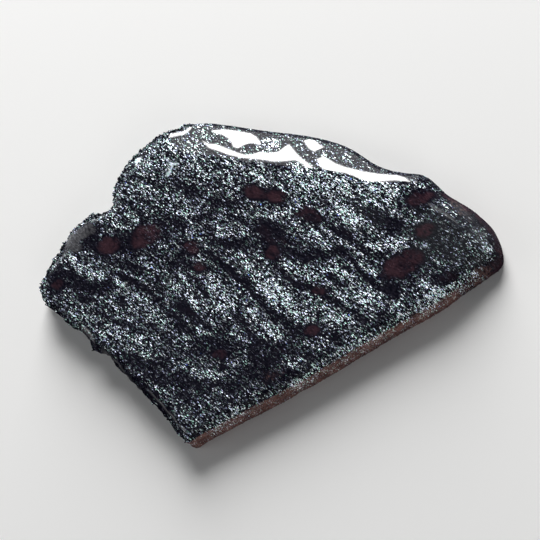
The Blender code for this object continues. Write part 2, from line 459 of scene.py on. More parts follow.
MARKS = (
    *lenses(
        Tone.MAROON,
        (-32.4, 5.9, 2.7, 2.2, 20, 0.9), (-24.3, 8.1, 3.9, 2.6, 25, 0.9), (-14.2, 5.3, 1.8, 1.4, -10, 1),
        (-12.2, 1.4, 1.5, 1.1, -10, 0.9), (-42.8, -2.3, 1.5, 1.3, 0, 0.8),
        (-2.2, 17.2, 2.4, 1.5, -15, 0.9), (0.4, 16.6, 3.8, 1.3, -12, 0.66), (2.5, 16.1, 2.2, 1.4, -15, 1),
        (9.8, 12.1, 3.2, 1.6, -20, 0.75), (3.1, 4.2, 1.9, 1.6, -40, 0.8), (2.2, 7.7, 5.4, 2, -32, 0.45),
        (31.8, 15.6, 2.9, 1.9, 24, 0.8), (33.5, 8.6, 2.1, 1.6, 20, 0.95), (29.4, 1.9, 4.9, 2.5, 28, 0.9),
        (13.1, -3.6, 1.6, 1, -10, 0.8), (12.3, -11.6, 1.7, 1.2, 10, 1), (-6, -16.6, 1.6, 1.2, 0, 0.7),
        (6, -15.7, 1.5, 1, 0, 0.5), (17.4, 8.4, 2.2, 0.8, -25, 0.4), (38, -0.6, 4.2, 1.3, 10, 0.45),
        (-13.6, -7.8, 2.6, 1, -35, 0.4),
    ),
    *lenses(
        Tone.BROWN,
        (36.2, -4.6, 2.6, 1.5, 32, 0.5), (32.6, -7, 2.8, 1.6, 35, 0.6), (39.4, 13.8, 4.6, 1.5, -46, 0.62),
        (44.2, 0.8, 2.4, 1.6, 35, 0.9), (5.2, -20.5, 3.4, 1.6, 30, 0.6),
    ),
    *lenses(
        Tone.SATIN,
        (39.6, 13.6, 4.4, 1.2, -46, 0.45), (-39.8, 5.6, 1.6, 1.1, 0, 0.75),
    ),
    *lenses(
        Tone.FINE,
        (38, 7.6, 8, 6.5, -20, 0.42), (20.4, 12, 5, 3, -30, 0.2),
    ),
    # a painted highlight on the left rim, painted as one white flake
    *lenses(
        Tone.MIRROR,
        (-28.3, 24.6, 1, 0.6, 30, 1),
    ),
    # DARK marks: fewer flakes, and painted shade on bands of flakes turned away from the light
    *lenses(
        Tone.DARK,
        (-42.8, -1.6, 2.2, 3.2, -10, 0.95), (-35.4, -2.4, 6, 1.7, -8, 0.9),
        (-39.6, -0.8, 2, 1.6, -45, 0.7), (-29.4, 6.6, 5, 2.6, 8, 0.9), (-14.6, -7.3, 3.4, 1.2, -35, 0.9),
        (-19.9, 8.6, 1.2, 3.2, 0, 0.6), (-17.6, 10.6, 2.6, 1.1, -15, 0.8),
        (-22, -18.6, 5.4, 1.4, -22, 0.8), (-18.6, -12.6, 3, 1, -35, 0.5),
        (-11, -10.2, 2.8, 0.9, -25, 0.7), (-9, -14.4, 3.8, 1.5, -15, 0.8),
        (-14.8, 17.2, 3, 1.2, -15, 0.7), (-19.4, 20, 2.4, 1, -30, 0.5), (-27.8, 20.6, 2.2, 0.7, -15, 0.5),
        (-25.2, 15.6, 2.4, 0.7, -35, 0.4), (-8.2, 14.6, 4.4, 1.2, -12, 0.6),
        (0, 16.6, 5.6, 1.7, -10, 0.8), (2.2, 9, 4, 2, -20, 1), (-6, 6.4, 4.4, 1.2, -12, 0.9),
        (2.8, 4.6, 2.4, 1.8, -50, 0.9), (-12.4, 12.4, 2.6, 0.9, -25, 0.5),
        (10.6, 11.8, 2.8, 1.5, -18, 0.7), (22.8, 12, 2.6, 1.4, -35, 0.85),
        (26.6, 10, 3.2, 1.6, -25, 0.85), (31.4, 15, 3.6, 2, 10, 0.6), (33.8, 8.4, 2.6, 2.2, 10, 0.8),
        (29.6, 1.8, 5.2, 3, 25, 0.7), (27.7, -3.1, 1.9, 1.5, 0, 1), (37.8, -0.8, 3.6, 1.4, 10, 0.6),
        (37, 6.6, 3.6, 4.4, 0, 0.38), (17, 8.2, 2.8, 1.1, -28, 0.7), (-6.4, -15.4, 4.2, 2.2, -5, 0.8),
        (3, -16.4, 4.2, 3.2, -20, 0.75), (-11.8, -22.4, 4.2, 1.6, -20, 0.8),
        (-3, -22.8, 3.6, 1.5, -10, 0.8), (11.6, -11.6, 3, 1.5, 5, 0.8), (17.6, -13.2, 1.6, 1.2, -45, 0.8),
        (12.2, -16, 1.8, 1, -35, 0.7), (22.2, -9.2, 1.8, 0.9, -20, 0.6), (-17.5, 3.2, 3.2, 2.2, -30, 0.8),
        (-17, -21.4, 5.4, 1.4, -12, 0.7), (2.4, -20.4, 5.4, 1.7, -5, 0.8), (9.2, -15.6, 3, 1.6, -30, 0.5),
        (-3, 10.4, 2.4, 1, -30, 0.6), (-1.6, 7, 2.6, 1.6, -30, 0.7), (-24.8, 19, 1.4, 1, -40, 0.4),
        (-12.6, 18.4, 1, 1.6, -20, 0.4), (-18.8, 13.8, 1.3, 0.9, -30, 0.4),
        (-14, 11.6, 1.4, 0.9, -30, 0.35), (-22.2, 2.6, 1.6, 1, -50, 0.4), (-35, 3, 1.6, 0.8, -30, 0.4),
        (-32.6, -7.2, 1.4, 1, -40, 0.4), (-28.6, -12, 1.8, 0.9, -20, 0.4),
        (-19.4, -18.2, 2, 0.9, -20, 0.4), (-1.4, -15.4, 1, 2.2, 0, 0.45), (8.2, -17.2, 1.3, 0.9, 0, 0.45),
        (13.2, -13.4, 1.8, 0.9, 30, 0.4), (17.4, -7.8, 1.6, 1.1, -40, 0.4),
        (2.6, -11.2, 1.6, 0.9, -20, 0.4), (7.2, -11.6, 1.3, 0.9, 20, 0.35),
        (0.4, -3.4, 1.4, 0.9, -10, 0.4), (9.8, -4.2, 1.1, 0.7, -30, 0.4), (20, -2.8, 2.2, 0.8, 0, 0.4),
        (26.6, -5.8, 1.6, 0.9, -45, 0.5), (30.8, -3.6, 1, 0.8, -45, 0.5), (21.4, 7, 1.3, 0.9, -60, 0.4),
        (6.4, 7.4, 1.2, 0.9, -20, 0.45), (13.2, 5.6, 1.2, 0.8, -40, 0.45), (16, 14.6, 1, 1.2, 0, 0.4),
        (19.6, 0.6, 1, 0.8, 0, 0.4), (6.2, 2.6, 1.6, 0.8, -45, 0.35), (-8, 4.4, 1.8, 0.7, -10, 0.35),
        (37, -2.6, 1.3, 0.7, 20, 0.3), (38.6, 1.2, 1.6, 0.8, -20, 0.3), (-12.5, 9, 3.2, 2.8, 0, 0.12),
        (-24, 21, 3.4, 3, 0, 0.1), (-14, -15.5, 8, 2.8, 0, 0.08), (-4.5, -15.5, 4.5, 2.8, 0, 0.12),
        (-18.5, -21, 3.2, 3, 0, 0.15), (-6, -21, 3.6, 2.8, 0, 0.15), (-29, -13.6, 3.2, 3, 0, 0.12),
        (-26.8, 16.4, 1.8, 1.2, -70, 0.3), (-15.6, 15.4, 1.3, 0.9, -30, 0.35),
        (-9.8, 13, 1.4, 0.8, -20, 0.3), (-4.6, 9, 1.3, 0.9, -30, 0.35), (-24.2, 5, 1.2, 1, 0, 0.3),
        (-37.6, 0.6, 1.2, 1, -20, 0.5), (-2, -6.4, 1.8, 0.9, -10, 0.45), (-14.4, -9, 1.2, 0.8, -30, 0.35),
        (-14.4, -17.2, 1.6, 1.2, -20, 0.35), (-4.4, -18.8, 2, 1, 20, 0.35),
        (-7.6, -22, 1.6, 0.9, 0, 0.35), (16, -17.4, 1.6, 1, 30, 0.4), (4.6, -23, 1.6, 0.8, 30, 0.4),
        (16, -8.4, 1.2, 1, 0, 0.35), (12.2, 14.2, 1.6, 0.8, -30, 0.4), (7, 19, 1.6, 0.9, -20, 0.35),
        (-6.6, 19.6, 1.8, 0.8, -20, 0.35), (22.6, 1.6, 1.2, 1, 0, 0.4), (28.6, 7.6, 1.6, 0.8, 20, 0.35),
        (30, 11.6, 1, 0.8, 0, 0.35), (-5, -11.2, 2.4, 1.3, 0, 0.6), (-26.2, -4.2, 2, 1, -25, 0.4),
        (2.6, -9.4, 1.4, 1.1, -40, 0.5), (-20, -2.6, 1.5, 1, -50, 0.5), (10.6, -17.4, 1.6, 1.2, 0, 0.5),
        (2.6, -23, 2.6, 0.8, 20, 0.4), (21.2, 5.8, 2.2, 0.9, -35, 0.4), (32.4, -1.6, 2.6, 0.8, 45, 0.4),
        (13.2, -12.2, 2, 0.9, 15, 0.4), (-3, 2.2, 1.6, 1.3, -40, 0.4), (-9.2, 9, 1.8, 0.9, -20, 0.3),
        (13.6, 14.6, 2.6, 0.9, -20, 0.4), (-7, -4.4, 2, 0.8, -20, 0.4), (-38.4, 0.4, 1.6, 1, -20, 0.4),
        (-29.6, 11.2, 2, 1, 10, 0.5), (2, 22.4, 1.6, 1.2, -20, 0.5), (-13, 24, 1.8, 1.1, -50, 0.5),
        (-19.4, 18.6, 1.8, 1.1, -60, 0.5), (13.8, 5, 1.4, 1.2, -60, 0.5),
        (-21.8, 4.2, 2.2, 1.2, -20, 0.5), (11.8, 1.6, 1.6, 1.2, -20, 0.4),
        (-22, -11.6, 2.4, 1.4, -25, 0.4), (-14.4, -12.6, 2.4, 1.3, -10, 0.4),
        (-15, -23.2, 2, 1.2, -20, 0.4), (-8.2, -23.8, 2, 1.3, -10, 0.4), (25, -10.6, 2, 0.8, 33, 0.6),
        (-19, 23.2, 3.2, 2, -40, 0.5), (-8, 19.4, 3, 1.2, -25, 0.35), (10.4, 18.4, 2.8, 1.6, -25, 0.5),
        (20.8, 17.6, 2.2, 1.2, -25, 0.4), (12.8, 6, 2.8, 1.8, -20, 0.5), (1.6, 11.6, 2, 1.4, -20, 0.5),
        (-3.8, 15, 1.8, 1.1, -20, 0.4), (-18.2, 8.6, 1.8, 1.2, -20, 0.4),
        (-9.4, -0.4, 2.8, 1.8, -35, 0.5), (-13.8, 3.2, 1.6, 1.2, -20, 0.4),
        (-38.6, 1.2, 3, 1.5, -25, 0.5), (-32.6, 0.4, 2.2, 1.1, -15, 0.4), (-24.2, -7, 2.8, 2, -45, 0.5),
        (-10.4, -16.6, 4, 2, -15, 0.4), (-2.6, -16.4, 2.2, 1.4, -30, 0.4), (16, -7, 1.8, 1.4, -20, 0.4),
        (20.2, -2.6, 2, 1.2, -30, 0.3), (8.2, 0.6, 2.2, 1.4, -30, 0.4), (15.4, -16.2, 2, 1.2, 20, 0.4),
        (-10.6, 9.2, 1.2, 0.9, -40, 0.6), (-21, 12.2, 2.6, 1.2, -20, 0.5), (-22.5, 5, 1.6, 1.2, 0, 0.5),
        (-27, 3.6, 1.6, 1.2, -20, 0.5), (-14.6, 2.4, 1.4, 1.1, 0, 0.5), (-4.4, 19.8, 2.4, 0.9, -15, 0.5),
        (-11, 22.4, 1.6, 1, -20, 0.4), (-20.4, 26, 1.6, 1.2, 0, 0.4), (-27.4, -5.6, 2.2, 1.2, -30, 0.6),
        (-36, -5.4, 2.2, 1.1, -15, 0.5), (26.6, -8.8, 2.4, 1.4, -25, 0.6),
        (-17.5, -18.6, 2.4, 1.2, -15, 0.5), (-12.5, -25.4, 2.6, 1.3, -25, 0.5),
        (-4, -25.6, 2.4, 1, -15, 0.5), (8.6, -20.4, 3.4, 1.3, 10, 0.6), (13.4, -5.4, 1.4, 0.9, -30, 0.5),
        (34.8, 1.2, 2, 1, 10, 0.5), (42.6, 8.4, 1.6, 1.2, -50, 0.4), (32.6, 12.2, 2.4, 1.2, -20, 0.5),
        (21, 9.4, 1.4, 1, -30, 0.6), (8.2, 11.4, 1.6, 1, -30, 0.4), (3, 14.8, 2.4, 0.8, -10, 0.5),
        (-8.6, 16.4, 1.4, 0.9, -30, 0.4),
    ),
    # BRIGHT marks: closely packed flakes, and painted glints on bands of flakes turned towards the light
    *lenses(
        Tone.BRIGHT,
        (-2.4, -28.4, 4.5, 1, 30, 0.4), (33.6, -6.4, 3.2, 1.2, 32, 0.5), (12.6, 13, 2, 0.8, -30, 0.5),
        (16.4, 9.4, 1.8, 0.9, -45, 0.4), (8.8, 21.6, 1.6, 0.9, -20, 0.4), (18.2, 19, 1.2, 0.8, -40, 0.5),
        (24, 16.8, 1.2, 1.1, -30, 0.6), (20.2, 16.2, 1, 0.8, -40, 0.5), (21.6, 10.8, 1.3, 0.8, -30, 0.5),
        (5.6, -6.2, 1.8, 0.9, -35, 0.5), (-12.6, -15.2, 1.3, 0.8, -20, 0.5),
        (-28.4, -8.2, 1.4, 0.8, -30, 0.4), (27.4, 3.4, 1.3, 0.8, -30, 0.4),
        (-11.8, 7, 1.4, 0.9, -25, 0.4), (-20.2, 5.2, 1.5, 0.9, -25, 0.4), (-22.4, -5, 2, 0.8, -35, 0.35),
        (20, -13.6, 2, 0.9, 30, 0.4), (45.2, 4.6, 1, 1.6, 10, 0.5), (6, 15, 3.6, 3, 0, 0.2),
        (21, 14.5, 7, 3, -10, 0.1), (30, 13.2, 3.4, 3, 0, 0.25), (-1.5, 9, 4.5, 2.5, -20, 0.25),
        (24, 7.5, 8, 3.2, -20, 0.1), (6.2, 3, 3.2, 2.8, 0, 0.25), (-30, 2.8, 3, 2.6, 0, 0.22),
        (-18, 3, 3, 2.6, 0, 0.18), (36, -2.6, 3, 2, 30, 0.15), (-18.5, -9, 3.2, 2.6, 0, 0.25),
        (3, -9, 8, 2.6, 0, 0.12), (30, 2.8, 3.6, 3, 0, 0.12), (18, 2.8, 4, 2.8, 0, 0.12),
        (-24, 23, 1, 1.3, 0, 0.4), (-22.4, 17, 1.4, 1, -60, 0.35), (3.8, 22.4, 1.2, 0.8, -30, 0.4),
        (5.2, 16, 1.4, 1.2, -30, 0.35), (8.8, 14, 1.5, 0.9, -30, 0.5), (17, 8.4, 1.6, 0.9, -45, 0.35),
        (0.6, 6.6, 1.4, 0.8, -10, 0.35), (4.2, 1.6, 1.2, 0.8, -30, 0.4), (1.6, -12.2, 1.4, 0.9, -20, 0.4),
        (14, -14.8, 1.8, 0.9, -10, 0.4), (29.6, -7, 1.2, 1.2, 0, 0.4), (35, -1.4, 1.2, 0.8, 0, 0.4),
        (-6.8, 18, 2.2, 0.9, -25, 0.6), (28.8, 4.6, 2.2, 1, 10, 0.5), (19.6, -9, 1.6, 1.3, 20, 0.7),
        (-12.6, -14, 2, 0.9, -20, 0.4), (-27.8, -16, 2.6, 0.8, -40, 0.5), (17, 6.8, 1.2, 0.8, -30, 0.5),
        (3, -15.8, 1.5, 1.2, -20, 0.3), (-13.4, 13.2, 1.8, 1, -40, 0.4), (14.8, 21, 2.2, 0.9, -20, 0.4),
        (-23.6, 2.6, 1.8, 0.9, -40, 0.4), (23.6, 18.2, 2, 1, -30, 0.5), (5.4, -6.6, 2, 1.3, -30, 0.4),
        (19, -7.8, 1.4, 1.8, -30, 0.5), (-17, -2.8, 2, 0.9, -30, 0.5), (-31, -13.4, 2.8, 0.8, -35, 0.5),
        (21.2, 11, 1.6, 1, -30, 0.5), (-4.6, -21.4, 1.8, 1, -20, 0.4), (34.4, -6.2, 2.4, 0.7, 33, 0.8),
        (6.6, 11.8, 1.8, 1.1, -20, 0.4), (-1, 20.4, 1.5, 0.9, -20, 0.4), (-29, 1.4, 2.2, 1.2, -20, 0.6),
        (-19.4, 16.6, 3, 1.4, -30, 0.5), (-18.2, 3.4, 1.9, 1.3, -40, 0.5),
        (21.2, 12.8, 2.2, 1.2, -30, 0.6), (25, -4.8, 2.4, 1, -60, 0.5), (5.6, -6.6, 1.8, 1.4, -20, 0.5),
        (28.4, 3, 1.4, 0.8, 20, 0.4), (2, -12, 2.2, 0.9, -35, 0.4), (12.4, 25.2, 2, 1.3, -30, 0.5),
        (-0.6, 27, 2.4, 1, -20, 0.5), (35.6, -4.2, 2.6, 1.1, 30, 1.3), (24.8, -12, 1.2, 0.5, 32, 0.9),
        (-5.6, -31, 1.6, 0.8, 30, 0.7), (7, 21.6, 3.4, 1.6, -20, 0.9), (12.2, 20.6, 2.6, 1.2, -25, 0.8),
        (23.6, 17.8, 4, 1.4, -20, 0.9), (-25.2, 23.6, 2, 1.2, -20, 0.7), (-14, 25, 3, 1, -20, 0.6),
        (-2, 21.4, 1.6, 1, -30, 0.8), (17.4, 11.2, 1.8, 0.9, -20, 0.6), (19.2, 6, 1.4, 1, -30, 0.5),
        (11.8, -0.6, 2.2, 0.8, -10, 0.6), (-8.2, -3.2, 2.2, 1, -20, 0.5), (-34.6, -1, 1.8, 0.9, -15, 0.6),
        (24, -3.4, 1.2, 0.9, -40, 0.7), (17.8, -4.6, 1.4, 0.8, -40, 0.6), (36, -4.2, 3, 1, 25, 0.6),
        (11, -8.2, 1.8, 0.8, -30, 0.6), (2, -11.4, 1.6, 1, -40, 0.5), (-24, -13.4, 2.4, 1.2, -30, 0.4),
        (22.4, -5.2, 2.8, 1.6, -38, 0.6), (9.5, 19, 5, 1.7, -15, 0.9), (15.6, 18.2, 3.2, 1.6, -30, 0.9),
        (20.8, 16.4, 2.6, 1.1, -35, 0.6), (-20, 24, 5, 2.6, -25, 0.5), (-26, 18.6, 3.6, 1.2, -30, 0.6),
        (-15, 22.5, 4, 2, -20, 0.5), (-22.5, 28, 2.6, 1.5, -20, 0.5), (-8, 20.8, 3.6, 1, -20, 0.6),
        (24, 5.6, 1.6, 0.9, 10, 0.8), (-10.2, -11.8, 1.3, 0.8, -30, 0.9), (-28.4, -2.3, 1.3, 1, -10, 1),
        (-24.4, -6.6, 4.8, 2.1, -28, 0.55), (-19, -9.6, 2, 0.9, -45, 0.7),
        (-16.4, -2.6, 1.6, 0.7, -25, 1), (-28.4, -12.2, 2.8, 1.4, -20, 0.6),
        (-22.3, -13.6, 2.4, 1, -20, 0.5), (-21.4, -17.4, 1.6, 0.9, -35, 0.6),
        (-16.6, 12.9, 2.6, 0.8, -12, 0.7), (-31.2, 10.8, 2.2, 0.9, -35, 0.6),
        (-28.2, 24.2, 1.1, 1, -20, 1), (-27, 21.8, 1.2, 0.8, -40, 0.8), (-7.8, 8.4, 2.4, 1.1, -38, 0.9),
        (-3.4, 8.6, 1.5, 0.6, -40, 0.8), (2, 12.3, 3, 0.9, -3, 0.9), (-0.4, 19.8, 1.4, 1, -20, 0.8),
        (-8.9, -1.4, 2.4, 1.1, -38, 1), (-2.6, 2.6, 3.2, 1.2, -52, 0.9), (4.2, -3.9, 5.6, 1.9, -44, 0.95),
        (7.6, -7, 2.8, 0.9, -43, 1), (-6.6, -6.4, 3.4, 1.8, -30, 0.7), (1.4, -9, 4.6, 1.3, -42, 0.7),
        (4.6, -12, 2.4, 0.9, -22, 0.9), (-3.3, -11.6, 2.6, 0.9, -52, 0.6), (6.2, 1.4, 2.6, 1.2, -30, 0.7),
        (12.4, 6.8, 3.4, 1.3, -38, 0.7), (18, -0.3, 2.8, 0.8, -30, 0.8), (21.4, -4.6, 4.8, 1.6, -42, 0.8),
        (15.6, -7.4, 4.2, 1.5, -32, 0.8), (17.9, 12.3, 5.4, 1.4, -38, 1), (27.2, 6.3, 2.8, 1, 5, 0.8),
        (24.4, 16.6, 2.8, 1.6, -45, 0.8), (13, 17.6, 7, 1.8, -15, 0.5), (31.6, 18.3, 1.9, 0.7, -12, 1),
        (27.4, 17.8, 1, 0.8, 0, 1), (31.5, 11, 1.2, 0.9, -40, 0.3), (37.4, 13, 1.8, 0.7, -40, 0.3),
        (41.4, 6.4, 2.6, 1.6, -40, 0.2), (33.7, -2.2, 1.4, 1, -30, 1), (36.2, -4.2, 1.7, 0.9, 20, 1),
        (39.6, -2.3, 1.8, 0.5, 28, 0.8), (29, -7.2, 2, 1.2, -20, 0.8), (32.6, -6.6, 2.2, 1.2, 30, 0.7),
        (-7.2, -20.8, 2.5, 0.8, -25, 0.9), (9.4, -17.8, 1.8, 0.8, -10, 0.6),
        (21.4, -13.4, 2, 0.7, 33, 0.9), (18.2, -15.8, 1.4, 0.7, 33, 0.8),
        (-12.8, -19.2, 3.4, 0.8, -15, 0.4), (-4, 23.4, 8, 1.6, -12, 0.3),
        (-0.2, 28.4, 2.4, 1.4, -30, 0.9), (16.4, 24.4, 1.8, 0.9, -35, 0.8),
    ),
    *seams(
        Tone.SATIN,
        (1.3, 0.95, (-41.9, 5), (-40.6, 6.9), (-38.9, 8.4), (-37.2, 9.5)),
        # a painted glint: a thin grey line where the front rim's small bevel catches the light
        (0.28, 0.8, (-31.2, -16.2), (-28.6, -17.8), (-26, -20.2), (-24.2, -22.4), (-22.4, -24.2)),
    ),
    # thin light lines painted at a glint's brightness
    *seams(
        Tone.MIRROR,
        (0.22, 0.8, (-20.9, 24), (-20.6, 23), (-20.7, 22.1), (-21.2, 21.3)),
        (0.2, 0.6, (-21.8, 24.6), (-20.9, 23.9), (-19.6, 23.5)),
    ),
    # DARK seams: fewer flakes, and painted shade along bands and edges
    *seams(
        Tone.DARK,
        (
            0.55, 1, (-30, 0.3), (-26.2, -1.6), (-23.7, -2.9), (-21.4, -4.7), (-19.2, -6.6), (-16, -9.3),
            (-12.3, -12.4),
        ),
        (0.9, 0.9, (-37.8, 9.8), (-35.9, 7.2), (-34.4, 4.9), (-31.9, 2.9), (-28.7, 1.9), (-25, 0.8)),
        (
            0.6, 1, (-10.6, 4.6), (-7.6, 1.8), (-4.7, -0.1), (-1.9, -2.1), (0.3, -4.5), (1.9, -6.6),
            (4.1, -8.4), (6.4, -9.9), (9, -11.2),
        ),
        (
            0.6, 0.95, (0.4, 7.6), (1.9, 4.6), (3.9, 2), (6, -0.5), (8.2, -2.1), (10.6, -3.2),
            (13.1, -3.8), (15.8, -5.4), (18.4, -6.9), (21.8, -8.9),
        ),
        (0.95, 1, (5.6, 4.6), (9.6, 3.3), (13.1, 4), (16.4, 4.6), (18.6, 4.2)),
        (0.5, 0.95, (18.2, 4.2), (20, 2), (22, -0.5), (24.1, -2.4), (26.4, -3.4)),
        (0.55, 0.8, (14.6, -0.2), (17.2, -2.1), (20, -2.6)),
        (0.5, 0.8, (-6, -6.6), (-3.3, -8.9), (-0.8, -11.2), (1.8, -13)),
        (0.5, 0.9, (14.4, 9.8), (16.6, 7.9), (18.9, 6.7), (21, 5.2), (22.6, 3.8), (25.3, 3)),
        (0.6, 0.8, (17.6, 14.6), (20.1, 13.2), (22.3, 12), (24.3, 10.4)),
        (0.4, 0.7, (30.6, -0.8), (32.4, -2), (34.6, -3.4)),
        (0.4, 0.5, (-13.4, -1), (-11.2, -3.2), (-9.6, -5.6)),
        (0.4, 0.6, (-24, 4.4), (-21, 2.2), (-17.4, -0.4), (-14.6, -3.6)),
        (0.4, 0.45, (-33.6, -8.4), (-29.6, -9.8), (-25, -11.4), (-19.6, -14.8)),
        (0.35, 0.6, (-30.2, 15.8), (-27, 13.4), (-24.6, 11.2)),
        (0.35, 0.5, (-24.6, 19.2), (-21, 17.2), (-18, 14.6)),
        (0.9, 1, (-36.8, 5.4), (-37.2, 7.2), (-36.8, 8.6), (-35.4, 9.6)),
        # painted shade along the front broken rim
        (1.2, 0.7, (-44, -8), (-38, -12.5), (-32, -16.5), (-26, -20.5), (-20, -25), (-13.5, -31)),
    ),
    # BRIGHT seams: painted glint lines along bands and along the edges
    *seams(
        Tone.BRIGHT,
        (0.5, 0.5, (35.4, 15), (38.4, 13.2), (41.2, 10.6), (43, 8.2)),
        (0.4, 0.9, (37.4, -3), (40.4, -0.9), (43.4, 0.9)),
        (0.4, 1, (8.6, -22.4), (10.5, -21.2), (13.2, -19.4)),
        (0.8, 0.6, (14.4, -18.4), (20.6, -14.4), (27.8, -9.6), (34.6, -5.4), (41.4, -0.6)),
        (0.8, 0.6, (6, 1.4), (10, 0.9), (14, 0.6), (18.5, -0.6)),
        (0.75, 1, (-41.9, 4.6), (-39.1, 1.6), (-36.2, 0.2), (-32.6, -0.6)),
        (0.6, 0.7, (-15.8, 0.6), (-13.7, -4.6), (-11.7, -7.2)),
        (0.35, 0.8, (-29.6, 12.8), (-28, 11.8), (-26.8, 10.8)),
        (0.45, 0.8, (2.8, 19), (3.6, 17.6), (4.8, 16.2)),
        (0.4, 0.8, (21.2, 6.6), (23, 5.4), (24.6, 4.6)),
        (0.5, 0.8, (21, 2.2), (22.6, 1), (24, -0.2)),
    ),
)

SHOULDER_EDGE = (
    (-16, 34.2), (-10.5, 33.5), (-2, 32), (7.5, 30.5), (15.5, 27.8), (22.5, 23.2), (27.5, 21.5),
    (32.3, 20.7), (36.5, 17.5),
)
SAWN_EDGE = ((-11.3, -34.4), (5.5, -24.5), (15.5, -18.5), (28, -10.5), (35.5, -6), (45.7, 1.7))
TIP_EDGE = ((36.5, 17.5), (42.5, 13.5), (46.5, 9), (47.7, 4), (45.7, 1.7))
LEFT_BREAK = (
    (-47.5, -3.2), (-45.3, 3), (-43.4, 4.8), (-44, 7), (-43.2, 9.5), (-37.5, 13), (-33.5, 14.5),
    (-33.5, 17.2), (-31.5, 22.5), (-29, 26.5), (-25, 30), (-19, 33.4),
)
FRONT_BREAK = (
    (-11.3, -34.4), (-15.5, -30), (-23, -23), (-30, -17), (-33, -16), (-39.5, -10.5), (-47.5, -3.2),
)


@dataclass(frozen=True)
class Land:
    """An even part of the far shoulder that the polish has brought to a full gloss.

    Attributes:
        outline: its outline's points, in order.
        soft: half the width of its soft edge.
    """

    outline: tuple[Point, ...]
    soft: float = 0.16

    def cover(self, x: np.ndarray, y: np.ndarray) -> np.ndarray:
        """How far each place is inside the land, from 0 to 1.

        Args:
            x: places along the slab.
            y: places across it.

        Returns:
            One number for each place.
        """
        closed = (*self.outline, self.outline[0])
        inside = np.zeros(len(x), dtype=bool)
        for (ax, ay), (bx, by) in zip(closed, closed[1:]):
            spans = (ay > y) != (by > y)
            if ay != by:
                inside ^= spans & (x < ax + (y - ay) * (bx - ax) / (by - ay))
        depth = np.where(inside, 1.0, -1.0) * edge_distance(x, y, closed)
        return smooth_step((-self.soft, self.soft), depth)


LANDS = (
    Land(
        (
            (-13.5, 31.8), (-10.8, 32.1), (-8.1, 31.7), (-5, 31), (-3.6, 30.1), (-2.3, 28.6),
            (-2.3, 27.8), (-3.4, 28.3), (-4.6, 28.3), (-5.6, 27.9), (-6.7, 27), (-7.8, 27.4),
            (-8.4, 28.5), (-9.5, 29.8), (-11, 30.7), (-12.6, 31),
        )
    ),
    Land(
        (
            (-14.8, 29), (-13.2, 28.2), (-11.6, 28.1), (-10, 27.4), (-8.3, 26.7), (-6.9, 26), (-5, 25.4),
            (-3.6, 25.4), (-1.9, 26.1), (0, 25.8), (1.9, 26.1), (2.6, 26.9), (3.7, 28.1), (4.5, 27.2),
            (5.8, 25.7), (7.4, 24.1), (8.8, 23.1), (10.8, 21.1), (10.2, 20.9), (8.6, 22.2), (7, 23.4),
            (5.8, 24), (3.3, 23.7), (1.1, 23.7), (-0.6, 24.1), (-2.4, 24.3), (-5, 24.6), (-8.3, 25.4),
            (-10.8, 26.4), (-13, 27.2),
        )
    ),
    Land(((6.6, 29), (7.7, 29.6), (8.8, 29.2), (9.9, 28.1), (11.1, 27.3), (9.3, 26.1), (8, 27.1))),
    Land(
        (
            (10.2, 24.2), (11.4, 24.8), (12.6, 24.2), (14.3, 23.1), (16.4, 22.3), (19.9, 21.4),
            (22.8, 20.9), (27, 20.4), (28.6, 19.8), (30, 18.6), (28.8, 19), (26.6, 19.2), (22.2, 19),
            (20.2, 19.2), (18.4, 20.2), (16.6, 20.9), (14.6, 21.2), (12.8, 20.9), (11.4, 22.3),
        )
    ),
    Land(((30.4, 18.7), (31.4, 18.9), (33.2, 17.9), (32.6, 17.4), (30.8, 17.8))),
    Land(
        (
            (-21.9, 29.6), (-20, 30.2), (-19, 30.6), (-18.3, 31.4), (-17.9, 32.6), (-18.3, 32.8),
            (-18.8, 31.8), (-19.6, 31.2), (-20.8, 30.8), (-22, 30.3),
        )
    ),
)


def break_distance(points: np.ndarray) -> np.ndarray:
    """How far each point lies from the nearest broken edge, in plan."""
    x, y = points[:, 0], points[:, 1]
    return np.minimum(edge_distance(x, y, LEFT_BREAK), edge_distance(x, y, FRONT_BREAK))


def land_cover(points: np.ndarray) -> np.ndarray:
    """How far each point is inside any of the polished lands, from 0 to 1."""
    return np.max([land.cover(points[:, 0], points[:, 1]) for land in LANDS], axis=0)


# ---------------------------------------------------------------------------
# The stone
# ---------------------------------------------------------------------------


@dataclass(frozen=True)
class FlakeLayer:
    """Flakes of one size, all lying much the same way, whose glints are painted into the colour.

    Attributes:
        cell: a flake's length, width and thickness.
        turn: the direction of its length in degrees, anticlockwise from +X.
        level: how bright the painted glint of a flake of middling luck is.
        contrast: how far luck alone brightens or darkens one, in powers of e.
    """

    cell: Size
    turn: float
    level: float
    contrast: float


